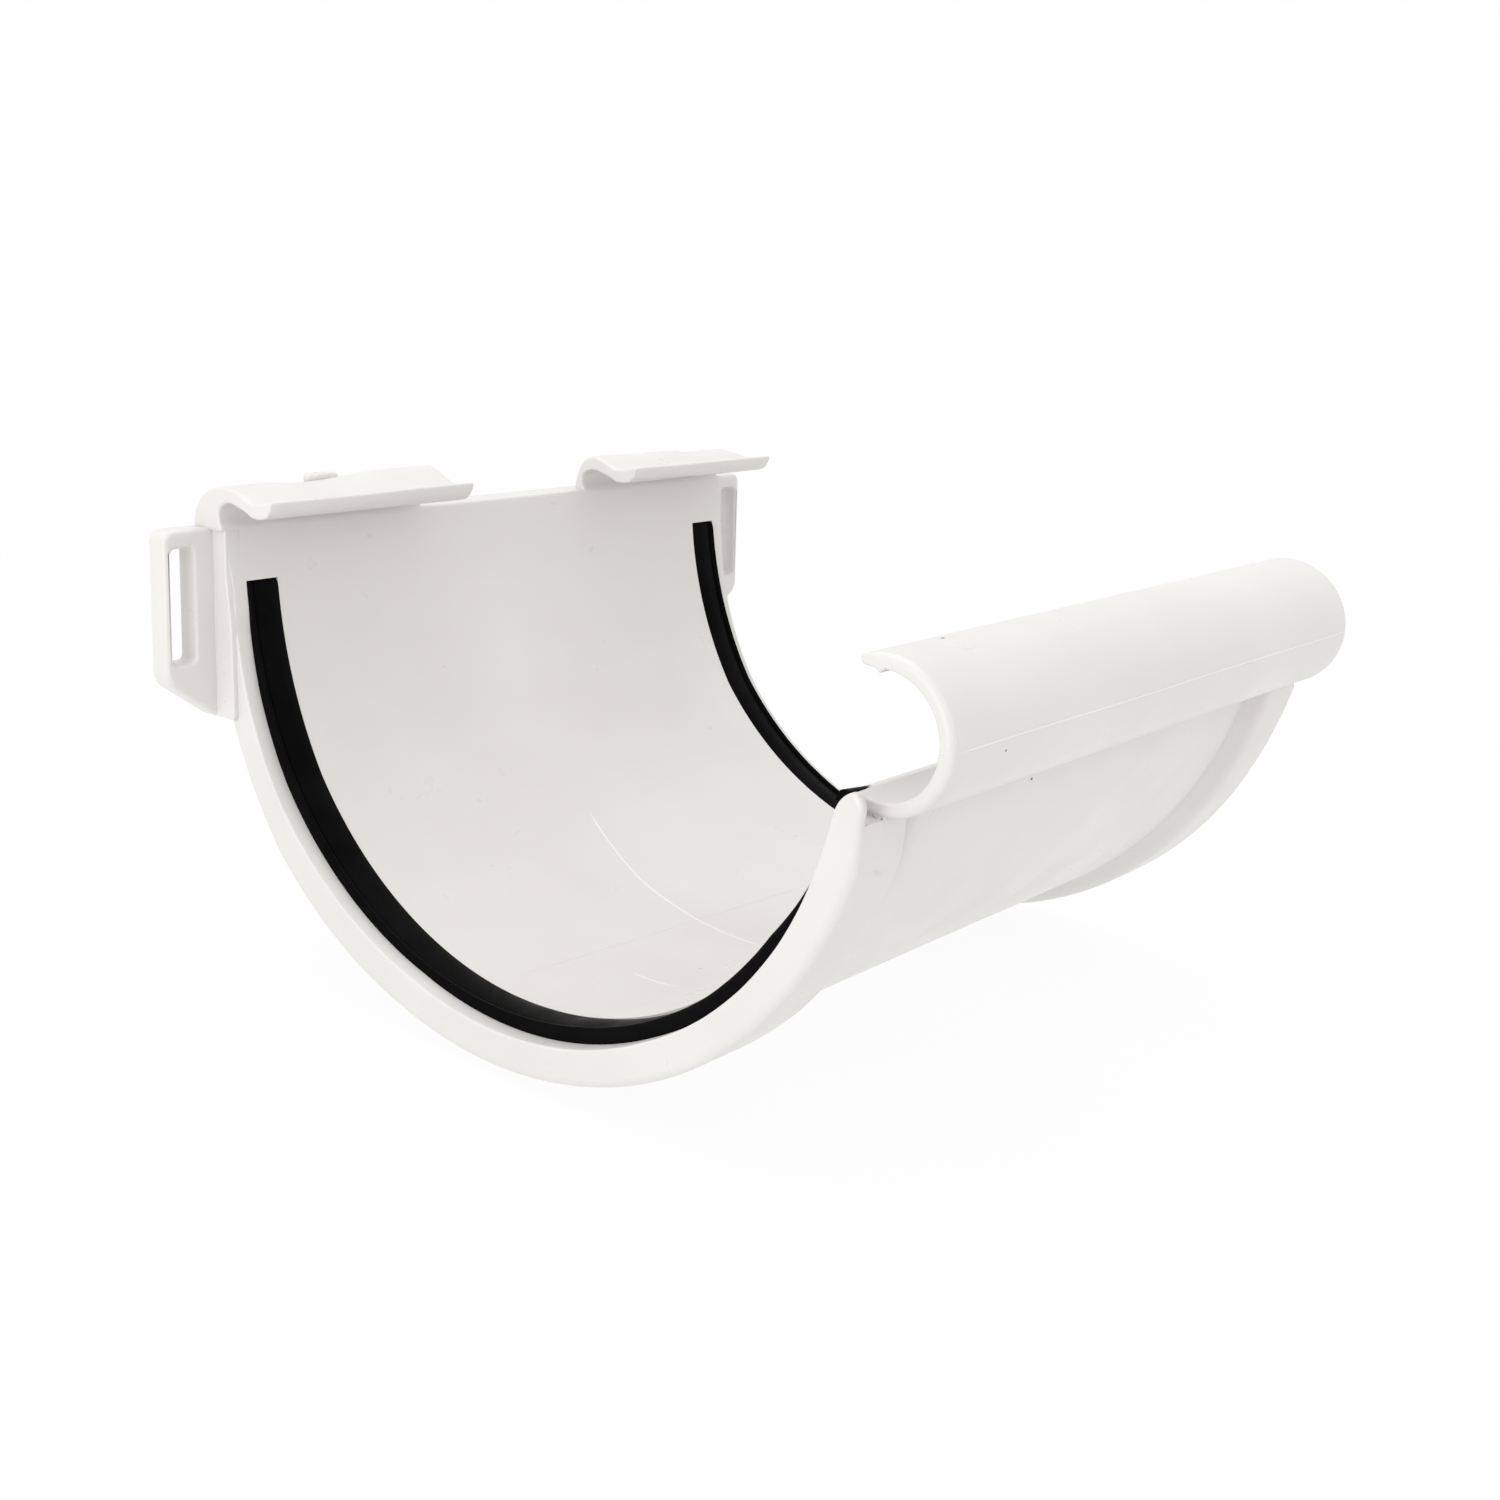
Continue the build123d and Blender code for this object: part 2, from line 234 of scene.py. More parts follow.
def section(t, kind="plain", side=-1):
    """The shell's closed outline at distance t from an end, as (Y, Z), with the radius of the end's rounding."""
    parts, rho = [], []

    def put(p, r):
        parts.append(np.asarray(p, float))
        rho.append(np.full(len(parts[-1]), r) if np.isscalar(r) else np.asarray(r, float))

    # top of the back wall
    put(rounded([(WALL_REAR, WALL_TOP), (R_IN, WALL_TOP), (R_IN, -1), (WALL_REAR, -1)],
                [0.6, 0.5, 0, 0])[:12], 0.3)
    put([(R_IN, 1.2), (R_IN, 0.5)], 0.3)
    # inside of the trough
    ang = np.concatenate([np.linspace(0, -5.8, 7), [-5.88, -5.92], np.linspace(-6.4, -163.4, 230)])
    r = np.full(len(ang), R_IN)
    if kind == "groove":
        r[ang < SEAL_TOP] = SEAL_R
    elif kind == "lip":
        r = lip_radius(ang)
    a = np.radians(ang)
    put(np.column_stack([r * np.cos(a), r * np.sin(a)]), 0.35)
    # front top: a rounded rim near the ends, a crest that falls into the bead's channel elsewhere
    ro = outer_radius(t)
    if t < RIM_T:
        nose = [(-62.78, -18.15), (-63.0, -17.5), (-63.3, -16.87), (-63.75, -16.2), (-64.35, -15.6), (-65.0, -15.15),
                (-65.6, -14.98), (-66.15, -15.1), (-66.65, -15.5), (-66.98, -16.1), (-67.12, -16.95), polar(ro - 1.15, -164.8),
                polar(ro - 1.0, -164.0)]
        nose = smooth_line(nose, 42)[2:]
        put(nose, np.interp(np.arange(len(nose)), [0, 12, 26, 39], [0.35, 0.35, 0.6, 0.75]))
        b0 = -164.0
    elif t < SEAT_T:
        # hollow seat between the rim and the bead
        start = {"lip": -70.9, "groove": -72.9}.get(kind, -61.5)
        rs = ro + float(collar_swell(-164.2, side))
        d = math.hypot(*BEAD)
        turn = math.degrees(math.acos((rs * rs - d * d - SEAT_R ** 2) / (2 * d * SEAT_R)))
        seat = arc(BEAD, SEAT_R, start, math.degrees(math.atan2(BEAD[1], BEAD[0])) + turn, 36)
        edge = math.degrees(math.atan2(seat[-1][1], seat[-1][0]))
        put(np.vstack([seat, [polar(rs, edge + 0.08 * i) for i in (1, 2, 3, 4)]]), 0.3)
        b0 = edge + 0.4
    else:
        crest = smooth_line([polar(R_IN, -163.6), (-60.6, -17.2), (-61.05, -16.68), (-61.75, -16.38), (-62.6, -16.27),
                             (-63.2, -16.3)], 22)
        if kind == "groove":
            d = np.hypot(crest[:, 0], crest[:, 1])
            crest = crest * np.where(crest[:, 1] < -17.35, SEAL_R / d, 1)[:, None]
        inner = arc(BEAD, BEAD_RI + 0.6, -72, -92, 10)
        rs = ro + float(collar_swell(-164.2, side)) * float(np.interp(t, [10, 14], [1, 0.25]))
        under = smooth_line([tuple(inner[-1]), (-66.3, -18.2), polar(rs - 0.5, -164.9), polar(rs, -164.3)], 9)[1:]
        put(np.vstack([crest, inner, under]), 0.6)
        b0 = -164.2
    # outside of the shell or collar
    q = arc((0, 0), ro, b0, -9.0, 190)[1:]
    swell = collar_swell(np.linspace(b0, -9.0, 190)[1:], side) * np.interp(t, [10, 14], [1, 0.25])
    q = q * (1 + swell / ro)[:, None]
    fade = np.clip(np.arange(len(q)) / 6.0, 0, 1)
    put(q, 0.75 + (1.3 - 0.75) * fade)
    put([(WALL_REAR, -3.2)], 0.5)
    return np.vstack(parts), np.concatenate(rho)


def main_rings(side):
    """Rings from the end face at this side to the middle."""
    rings = []
    p, rho = section(0, "lip", side)
    n = outward(p)
    for along, inset in rounding(8):
        q = p - n * (rho * inset)[:, None]
        rings.append(np.column_stack([side * (HALF - rho * along) + lean(q, side), q]))
    plan = [(0.9, "lip"), (RIM_T - 0.01, "lip"), (RIM_T, "lip"), (1.9, "lip"), (SEAL_T0, "lip"), (SEAL_T0 + 0.02, "groove"),
            (SEAT_T - 0.01, "groove"), (SEAT_T + 0.01, "groove"), (SEAL_T1, "groove"), (SEAL_T1 + 0.03, "plain"), (9.5, 0),
            (9.8, 0), (10.1, 0), (10.35, 0), (10.6, 0), (10.85, 0), (11.1, 0), (11.4, 0), (11.8, 0), (12.2, 0), (12.6, 0),
            (13.0, 0), (13.4, 0), (13.8, 0), (14.2, 0), (14.6, 0), (15.0, 0), (15.5, 0), (17, 0), (25, 0), (40, 0)]
    for i, (t, kind) in enumerate(plan):
        q, round_r = section(t, kind or "plain", side)
        depth = np.maximum(t, round_r + 0.02 * (i + 1)) if t < 1.5 else t
        along = np.interp(t, [9.5, 24], [1, 0])
        rings.append(np.column_stack([side * (HALF - depth) + along * lean(q, side), q]))
    return rings


def lean(q, side):
    """The upper back of each end leans a little towards +X, and the far collar's front towards -X; by (Y, Z)."""
    if side > 0:
        back = 1.8 * np.clip((q[:, 0] - 50) / 13, 0, 1)
    else:
        back = 0.8 * np.clip((q[:, 0] - 50) / 13, 0, 1) * np.clip((q[:, 1] + 2) / -4, 0, 1)
    front = -1.0 * np.clip((-q[:, 0] - 35) / 30, 0, 1) if side > 0 else 0.0
    return back + front


def bead_outline():
    """The bead's C, as (Y, Z), clockwise inside and back outside, with its end rounding."""
    inside = arc(BEAD, BEAD_RI, -67, -269.3, 90)
    tip = smooth_line([tuple(inside[-1]), (-65.9, -0.78), (-65.55, -1.05), (-65.2, -1.0), (-64.85, -0.62), (-64.2, -0.5),
                       (-63.3, -0.42), (-62.85, -0.2), (-62.68, 0.25), (-62.8, 0.75), (-63.15, 1.0)], 34)[1:]
    a0 = math.degrees(math.atan2(1.0 - BEAD[1], -63.15 - BEAD[0]))
    outside = arc(BEAD, BEAD_RO, a0 + 1, 293, 150)[1:]
    p = np.vstack([inside, tip, outside])
    rho = np.concatenate([np.full(len(inside), 0.35), np.full(len(tip), 0.35), np.full(len(outside), 0.95)])
    k = np.clip(np.arange(len(outside)) / 8.0, 0, 1)
    rho[len(inside) + len(tip):] = 0.45 + 0.5 * k
    rho[:4] = 0.1
    rho[-12:] = np.linspace(0.9, 0.1, 12)
    return p, rho


# ------------------------------------------------------------- materials
def node(tree, kind, where=(0, 0), **values):
    n = tree.nodes.new(kind)
    n.location = where
    for k, v in values.items():
        if hasattr(n, k):
            setattr(n, k, v)
        else:
            n.inputs[k.replace("_", " ")].default_value = v
    return n


def new_material(name):
    m = bpy.data.materials.new(name)
    m.use_nodes = True
    t = m.node_tree
    t.nodes.clear()
    out = t.nodes.new("ShaderNodeOutputMaterial")
    s = t.nodes.new("ShaderNodeBsdfPrincipled")
    t.links.new(s.outputs[0], out.inputs[0])
    return m, t, s


def noise(t, scale, detail=3.0, rough=0.55, stretch=None):
    c = t.nodes.new("ShaderNodeTexCoord")
    n = t.nodes.new("ShaderNodeTexNoise")
    n.inputs["Scale"].default_value = scale
    n.inputs["Detail"].default_value = detail
    n.inputs["Roughness"].default_value = rough
    if stretch:
        m = t.nodes.new("ShaderNodeMapping")
        m.inputs["Scale"].default_value = stretch
        t.links.new(c.outputs["Object"], m.inputs["Vector"])
        t.links.new(m.outputs[0], n.inputs["Vector"])
    else:
        t.links.new(c.outputs["Object"], n.inputs["Vector"])
    return n


def ramp(t, source, stops):
    r = t.nodes.new("ShaderNodeValToRGB")
    els = r.color_ramp.elements
    els[0].position, els[0].color = stops[0][0], (*stops[0][1], 1)
    els[1].position, els[1].color = stops[-1][0], (*stops[-1][1], 1)
    for p, c in stops[1:-1]:
        e = els.new(p)
        e.color = (*c, 1)
    t.links.new(source, r.inputs[0])
    return r


def spread(t, source, lo, hi, a=0.3, b=0.7):
    m = t.nodes.new("ShaderNodeMapRange")
    m.inputs["From Min"].default_value = a
    m.inputs["From Max"].default_value = b
    m.inputs["To Min"].default_value = lo
    m.inputs["To Max"].default_value = hi
    t.links.new(source, m.inputs["Value"])
    return m


def mix_color(t, fac, a, b, mode="MIX"):
    m = t.nodes.new("ShaderNodeMix")
    m.data_type = "RGBA"
    m.blend_type = mode
    for s, v in ((0, fac), (6, a), (7, b)):
        if hasattr(v, "is_linked") or hasattr(v, "links"):
            t.links.new(v, m.inputs[s])
        elif s == 0:
            m.inputs[s].default_value = v
        else:
            m.inputs[s].default_value = (*v, 1)
    return m


def white_pvc(name, tint=1.0):
    """Moulded white PVC: satin, a little warm, with faint flow streaks, clouding and a few dust specks."""
    m, t, s = new_material(name)
    cloud = noise(t, 38, 2.0)
    flow = noise(t, 60, 3.0, 0.6, (0.18, 1.0, 1.0))
    # tint scales the base colour: above 1 gives a lighter copy used as a painted highlight, below 1 a darker copy used
    # as painted shade
    base = ramp(t, cloud.outputs["Fac"], [
        (0.30, (0.672 * tint, 0.654 * tint, 0.624 * tint)),
        (0.52, (0.690 * tint, 0.673 * tint, 0.645 * tint)),
        (0.72, (0.703 * tint, 0.688 * tint, 0.662 * tint))])
    streak = ramp(t, flow.outputs["Fac"], [(0.35, (0.985, 0.984, 0.981)), (0.65, (1, 1, 1))])
    c1 = mix_color(t, 1.0, base.outputs[0], streak.outputs[0], "MULTIPLY")
    # sparse specks of dust
    coord = t.nodes.new("ShaderNodeTexCoord")
    vor = t.nodes.new("ShaderNodeTexVoronoi")
    vor.feature = "F1"
    vor.inputs["Scale"].default_value = 110
    t.links.new(coord.outputs["Object"], vor.inputs["Vector"])
    near = t.nodes.new("ShaderNodeMapRange")
    near.inputs["From Min"].default_value = 0.016
    near.inputs["From Max"].default_value = 0.008
    near.inputs["To Min"].default_value = 0
    near.inputs["To Max"].default_value = 1
    t.links.new(vor.outputs["Distance"], near.inputs["Value"])
    pick = noise(t, 17, 0.0)
    few = spread(t, pick.outputs["Fac"], 0, 0.02, 0.72, 0.75)
    speck = t.nodes.new("ShaderNodeMath")
    speck.operation = "MULTIPLY"
    t.links.new(near.outputs[0], speck.inputs[0])
    t.links.new(few.outputs[0], speck.inputs[1])
    c2 = mix_color(t, speck.outputs[0], c1.outputs[2], (0.30, 0.27, 0.23))
    t.links.new(c2.outputs[2], s.inputs["Base Color"])
    rr = noise(t, 120, 3.0)
    rm = spread(t, rr.outputs["Fac"], 0.27, 0.40)
    t.links.new(rm.outputs[0], s.inputs["Roughness"])
    s.inputs["IOR"].default_value = 1.52
    s.inputs["Specular IOR Level"].default_value = 0.5
    fine = noise(t, 900, 2.0, 0.5)
    wave = noise(t, 55, 1.0, 0.4)
    b1 = t.nodes.new("ShaderNodeBump")
    b1.inputs["Strength"].default_value = 0.10
    b1.inputs["Distance"].default_value = 0.00005
    t.links.new(fine.outputs["Fac"], b1.inputs["Height"])
    b2 = t.nodes.new("ShaderNodeBump")
    b2.inputs["Strength"].default_value = 0.22
    b2.inputs["Distance"].default_value = 0.0004
    t.links.new(wave.outputs["Fac"], b2.inputs["Height"])
    t.links.new(b1.outputs[0], b2.inputs["Normal"])
    t.links.new(b2.outputs[0], s.inputs["Normal"])
    return m


def black_rubber(name):
    """Glossy black seal rubber with a fine bump and faint clouding."""
    m, t, s = new_material(name)
    cloud = noise(t, 90, 4.0)
    base = ramp(t, cloud.outputs["Fac"], [(0.35, (0.0008, 0.0008, 0.0009)), (0.7, (0.0025, 0.0025, 0.0027))])
    t.links.new(base.outputs[0], s.inputs["Base Color"])
    rr = noise(t, 260, 3.0)
    rm = spread(t, rr.outputs["Fac"], 0.34, 0.50)
    t.links.new(rm.outputs[0], s.inputs["Roughness"])
    s.inputs["Specular IOR Level"].default_value = 0.03
    fine = noise(t, 1400, 2.0)
    b = t.nodes.new("ShaderNodeBump")
    b.inputs["Strength"].default_value = 0.25
    b.inputs["Distance"].default_value = 0.00006
    t.links.new(fine.outputs["Fac"], b.inputs["Height"])
    t.links.new(b.outputs[0], s.inputs["Normal"])
    return m


def dull_mark(name, color, rough=0.6):
    m, t, s = new_material(name)
    n = noise(t, 700, 3.0)
    a = tuple(c * 0.82 for c in color)
    r = ramp(t, n.outputs["Fac"], [(0.35, a), (0.65, color)])
    t.links.new(r.outputs[0], s.inputs["Base Color"])
    rm = spread(t, n.outputs["Fac"], rough - 0.08, rough + 0.1)
    t.links.new(rm.outputs[0], s.inputs["Roughness"])
    return m


pvc = white_pvc("white_pvc_moulded")
# lighter copy of the PVC (tint 1.12): the mould lines are modelled as raised geometry, and their lighter colour is a
# painted highlight
pvc_painted_highlight = white_pvc("white_pvc_flash_painted_highlight", 1.12)
# darker copy of the PVC (tint 0.93) for the raised line along the trough's floor: painted shade
shaded_seam_pvc = white_pvc("white_pvc_seam_painted_shade", 0.93)
rubber = black_rubber("black_seal_rubber")
mark = dull_mark("dark_inclusion", (0.10, 0.09, 0.08))
gate_mat = white_pvc("white_pvc_torn", 1.0)

# ------------------------------------------------------------------- body
body = Builder()
left = main_rings(-1)
right = main_rings(1)
middle = []
q, _ = section(60, "plain")
for x in (-12, 0, 12):
    middle.append(np.column_stack([np.full(len(q), x), q]))
body.loft(left + middle + right[::-1])
bead_p, bead_rho = bead_outline()
bar_x(body, bead_p, -BEAD_HALF, BEAD_HALF, bead_rho, None, np.linspace(-52, 52, 14))

# rear clips: a hooked strip over the gutter's rear edge
clip_top = smooth_line([
    (REAR_Y, 2.3), (70.8, 3.7), (70.3, 5.2), (69.4, 6.5), (68.2, 7.62), (67.0, 8.42), (65.7, 8.98),
    (64.3, 9.34), (62.6, 9.48), (60.6, 9.4), (58.7, 9.07), (57.3, 8.63), (55.9, 8.05), (54.5, 7.64),
    (53.0, 7.62), (51.2, 7.86), (49.5, 8.2)], 60)
clip_tip = smooth_line([(49.5, 8.2), (49.15, 8.24), (48.95, 8.05), (49.0, 7.7)], 8)[1:]
clip_under = smooth_line([
    (49.0, 7.7), (49.35, 6.85), (49.9, 6.1), (50.7, 5.5), (51.9, 5.17), (53.3, 5.08), (54.4, 5.17),
    (55.3, 5.5), (56.6, 6.03), (58.2, 6.46), (59.6, 6.83), (60.7, 6.93), (61.6, 6.8), (62.6, 6.4),
    (63.3, 5.85), (63.65, 5.1), (63.7, 4.4)], 60)[1:]
clip_foot = [(63.6, 3.8), (63.25, 3.2), (63.0, 2.7), (62.985, 2.3), (63.5, 2.0), (66.0, 2.0), (69.0, 2.0), (70.6, 2.0)]
clip_full = np.vstack([clip_top, clip_tip, clip_under, clip_foot])
# away from the outer end the hook is a thin sheet that stands on the wall
thin_top = smooth_line([
    (65.55, 2.0), (65.5, 3.6), (65.3, 4.9), (64.9, 6.1), (64.3, 7.2), (63.5, 8.15), (62.5, 8.95), (61.3, 9.38),
    (60.1, 9.4), (58.7, 9.07), (57.3, 8.63), (55.9, 8.05), (54.5, 7.64), (53.0, 7.62), (51.2, 7.86), (49.5, 8.2)], 60)
thin_foot = [(63.6, 3.8), (63.25, 3.2), (63.0, 2.7), (62.985, 1.9), (63.05, 1.0), (63.8, 0.5), (64.8, 0.5), (65.4, 1.2)]
clip_thin = np.vstack([thin_top, clip_tip, clip_under, thin_foot])
clip_rho = np.full(len(clip_full), 0.5)
for i, (y, z) in enumerate(clip_full):
    if y < 51.5 and z > 4:
        clip_rho[i] = 0.5 - 0.3 * (51.5 - y) / 2.6


def clip_shape(r, side):
    r = r.copy()
    x = np.abs(r[:, 0])
    # the sheet is a touch higher near its inner end, and the far one sinks towards its outer end
    if side < 0:
        k = np.clip((46 - x) / 17.0, 0, 1)
        lift = 1.1 * k * k * (3 - 2 * k) * (0.2 + 0.8 * np.clip((r[:, 1] - 52) / 8, 0, 1))
    else:
        k = np.clip((x - 21.2) / 3.0, 0, 1) * np.clip((31 - x) / 9.0, 0, 1)
        lift = 0.3 * k * (0.55 + 0.45 * np.clip((r[:, 1] - 55) / 8, 0, 1))
        k = np.clip((x - 44) / 7.0, 0, 1)
        lift = lift - 0.9 * k * k * (3 - 2 * k) * np.clip((r[:, 1] - 54) / 5, 0, 1)
    r[:, 2] += lift * np.clip((r[:, 2] - 4.5) / 3.0, 0, 1)
    return r


def clip_bar(b, x0, x1, side):
    """A clip from its inner end x0 to its outer end x1."""
    rings = []
    for along, inset in rounding():
        q = clip_thin - outward(clip_thin) * (clip_rho * 0.8 * inset)[:, None]
        rings.append(np.column_stack([x0 + side * clip_rho * 0.8 * along, q]))
    xs = [x0 + side * t for t in (1.0, 1.8, 3, 5, 7, 9, 12, 16, 20, 24, 27)]
    xs += [side * (CLIP_WEB + t) for t in (-1.0, -0.6, -0.2, 0.0, 0.3, 0.6, 1.0, 2, 3, 4, 6, 8)]
    for x in xs:
        k = np.clip((abs(x) - CLIP_WEB + 1.0) / 2.0, 0, 1)
        k = k * k * (3 - 2 * k)
        rings.append(np.column_stack([np.full(len(clip_full), x), clip_thin * (1 - k) + clip_full * k]))
    for along, inset in list(rounding())[::-1]:
        q = clip_full - outward(clip_full) * (clip_rho * inset)[:, None]
        rings.append(np.column_stack([x1 - side * clip_rho * along, q]))
    b.loft([clip_shape(r, side) for r in rings])


for side in (-1, 1):
    clip_bar(body, *(CLIP_LEFT if side < 0 else CLIP_RIGHT), side)

    # end plate: thin face beside the rim, and the block behind it
    front = 62.95 if side < 0 else 63.5
    face = rounded([(front, EAR_TOP - 0.04), (REAR_Y - 0.04, EAR_TOP - 0.04), (REAR_Y - 0.04, EAR_LOW + 0.04),
                    (front - 1.5, EAR_LOW + 0.04), (front - 1.2, -14.2),
                    (front, -5.0)], [0.4, 0.6, 0.6, 0.8, 0.8, 0.8])
    bar_x(body, face, BACK_X + side * 59.0, (BACK_X - PLATE_X if side < 0 else 62.2), 0.28)
    block = rounded([(66.7, EAR_TOP - 0.08), (REAR_Y - 0.08, EAR_TOP - 0.08), (REAR_Y - 0.08, EAR_LOW + 0.08), (61.9, EAR_LOW + 0.08), (66.7, -19.2)],
                    [0.4, 0.6, 0.8, 0.8, 0.4])
    bar_x(body, block, BACK_X + side * 50.0, BACK_X + side * 61.5, 0.4)

    # fixing ear with its slot
    if side > 0:
        pts = [(55.0, EAR_TOP), (EAR_X, EAR_TOP), (EAR_X, EAR_SHOULDER), (PLATE_X, EAR_LOW), (55.0, EAR_LOW)]
        radii = [0.3, 1.8, 3.5, 1.2, 0.3]
    else:
        pts = [(-55.0, EAR_TOP), (-55.0, EAR_LOW), (-PLATE_X, EAR_LOW), (-EAR_X, EAR_SHOULDER), (-EAR_X, EAR_TOP)]
        radii = [0.3, 0.3, 1.2, 3.5, 1.8]
    rim = rounded([(BACK_X + q[0], q[1]) for q in pts], radii, 8)
    sx, w = BACK_X + side * SLOT_X, SLOT_W / 2
    hole = rounded([(sx - w, SLOT_TOP), (sx - w, SLOT_LOW), (sx + w, SLOT_LOW), (sx + w, SLOT_TOP)], [1.0] * 4, 8)
    nr, nh = outward(rim), outward(hole)
    rings_o, rings_h = [], []
    steps = list(rounding(6))
    spots = [(EAR_FRONT + a * 0.75, i, 0.75) for a, i in steps] + [(REAR_Y - a * 0.4, i, 0.4) for a, i in steps[::-1]]
    for y, inset, rho in spots:
        o = rim - nr * inset * rho
        h = hole + nh * inset * rho * 0.8
        rings_o.append(np.column_stack([o[:, 0], np.full(len(o), y), o[:, 1]]))
        rings_h.append(np.column_stack([h[:, 0], np.full(len(h), y), h[:, 1]]))
    io = body.loft(rings_o, capped=False)
    ih = body.loft(rings_h, capped=False)
    for k in (0, -1):
        # flat face round the slot, as a strip of triangles between the two outlines
        o, h = io[k], ih[k]
        po = np.array([body.v[i] for i in o])[:, [0, 2]]
        ph = np.array([body.v[i] for i in h])[:, [0, 2]]
        c = ph.mean(0)
        bmt = bmesh.new()
        vo = [bmt.verts.new((*p, 0)) for p in po]
        vh = [bmt.verts.new((*p, 0)) for p in ph]
        edges = [bmt.edges.new((vo[i], vo[(i + 1) % len(vo)])) for i in range(len(vo))]
        edges += [bmt.edges.new((vh[i], vh[(i + 1) % len(vh)])) for i in range(len(vh))]
        index = {v: i for v, i in zip(vo + vh, list(o) + list(h))}
        made = bmesh.ops.triangle_fill(bmt, use_beauty=True, use_dissolve=False, edges=edges)
        for f in [g for g in made["geom"] if isinstance(g, bmesh.types.BMFace)]:
            body.f.append(tuple(index[v] for v in f.verts))
        bmt.free()
        for ids in (o, h):
            for i in range(len(ids)):
                body.sharp.append((ids[i], ids[(i + 1) % len(ids)]))

skin = make_object("union_body_skin", body, pvc)
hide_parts("union_body")
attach(skin, "root")


# ------------------------------------------------------------------ seals
def seal_object(name, side, cad):
    b = Builder()
    t0, t1 = SEAL_T0 + 0.02, SEAL_T1 - 0.02
    lip = [(t0, 63.0), (t0 + 0.12, 62.66), (t0 + 0.32, 62.46), (t0 + 0.55, 62.44), (t0 + 0.78, 62.56), (t0 + 0.94, 62.8)]
    notch = [(t0 + 1.0, 63.0), (t0 + 1.06, 63.12), (t0 + 1.14, 63.05)]
    a, c = t0 + 1.2, t1
    crown = []
    for u in np.linspace(0, 1, 22):
        x = a + (c - a) * u
        crown.append((x, 63.05 - 0.45 * math.sin(math.pi * (0.04 + 0.92 * u)) ** 0.7))
    prof = np.array([(t0, 65.85), (t0, 64.2)] + lip + notch + crown + [(t1, 64.2), (t1, 65.85)])
    steps = 260
    ids = []
    rng = np.random.RandomState(7 if side < 0 else 11)
    wob = np.cumsum(rng.normal(0, 1, steps + 1))
    wob = (wob - np.linspace(wob[0], wob[-1], steps + 1))
    wob = wob / max(1e-6, np.abs(wob).max())
    for k in range(steps + 1):
        u = k / steps
        ang = SEAL_TOP - 0.1 + (SEAL_END - SEAL_TOP + 0.1) * u
        # the cut ends are a little rounded
        end = min(u, 1 - u) * steps
        pull = 0.0 if end >= 3 else (1 - math.sqrt(1 - (1 - end / 3) ** 2)) * 0.6
        ca, sa = math.cos(math.radians(ang)), math.sin(math.radians(ang))
        ring = []
        for t, r in prof:
            rr = r
            if r < 64:
                low = float(np.interp(ang, [-166, -156, -150, -144, -130, -118, -106, -95, 0],
                                      [1.5, 2.0, 1.6, 1.05, 1.05, 0.55, 0.1, 0.0, 0.0])) if side < 0 else 0.0
                rr = min(r + pull + 0.03 * wob[k] + low, 65.5)
                tt = t + 0.05 * wob[k] * (1 if r < 63 else 0)
            else:
                tt = t
                if r < 65:
                    rr = min(r + max(0.0, float(np.interp(ang, [-166, -156, -150, -144, -130], [0.7, 1.2, 0.8, 0.2, 0]))
                                     if side < 0 else 0.0), 65.6)
            tt = min(max(tt, t0), t1)
            ring.append((side * (HALF - tt) + float(lean(np.array([[R_IN * ca, R_IN * sa]]), side)[0]), rr * ca, rr * sa))
        ids.append(ring)
    b.loft([np.array(r) for r in ids])
    if side < 0:
        # its ragged end shows as a thin wedge on top of the front crest
        tail = []
        for i, x in enumerate(np.linspace(-57.65, -52.3, 26)):
            u = i / 25
            top = -15.72 - 0.62 * u + 0.05 * math.sin(i * 1.9) + 0.03 * math.sin(i * 4.3)
            tail.append(np.array([(x, -60.95, -17.3), (x, -61.3, -16.75), (x, -61.7, top - 0.18), (x, -62.1, top),
                                  (x, -62.6, top + 0.02), (x, -62.9, top - 0.12), (x, -63.0, -17.3)]))
        b.loft(tail)
    o = make_object(name, b, rubber, 50)
    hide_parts(cad)
    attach(o, "root")
    return o


seal_object("seal_strip_left", -1, "seal_left")
seal_object("seal_strip_right", 1, "seal_right")


# ----------------------------------------------------------- small details
def wire(b, pts, r, n=8, flat=1.0):
    """A thin raised line through the points (mm), tapering to nothing at both ends."""
    p = np.array(pts, float)
    rings = []
    for i in range(len(p)):
        d = p[min(i + 1, len(p) - 1)] - p[max(i - 1, 0)]
        d /= np.linalg.norm(d)
        up = np.array([0, -p[i][1], -p[i][2]]) if abs(p[i][1]) + abs(p[i][2]) > 1 else np.array([0, 0, 1.0])
        up /= np.linalg.norm(up)
        sd = np.cross(d, up)
        sd /= np.linalg.norm(sd)
        up = np.cross(sd, d)
        k = min(1.0, (min(i, len(p) - 1 - i) + 0.15) / 4.0)
        a = np.linspace(0, 2 * math.pi, n, endpoint=False)
        rings.append(p[i] + np.outer(np.cos(a), sd) * r * k + np.outer(np.sin(a), up) * r * k * flat)
    b.loft(rings)


lines = Builder()
# parting line along the outside of the bead
xs = np.linspace(-55.2, 55.2, 120)
wire(lines, [(x, BEAD[0] - BEAD_RO + 0.03, -9.1 + 0.06 * math.sin(x * 0.11)) for x in xs], 0.15)
# the same parting line across the bead's near end face
wire(lines, [(-BEAD_HALF - 0.01, y, -9.1) for y in np.linspace(-75.6, -74.5, 12)], 0.10)
# fine line along the trough's floor
seam = Builder()
wire(seam, [(x, *polar(R_IN + 0.02, -83.1 - 0.0592 * (x + 47.8))) for x in np.linspace(-47.8, 18.4, 70)], 0.15, 8, 0.4)
# the floor line uses the darker PVC copy, painted shade
o = make_object("floor_seam", seam, shaded_seam_pvc)
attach(o, "root")
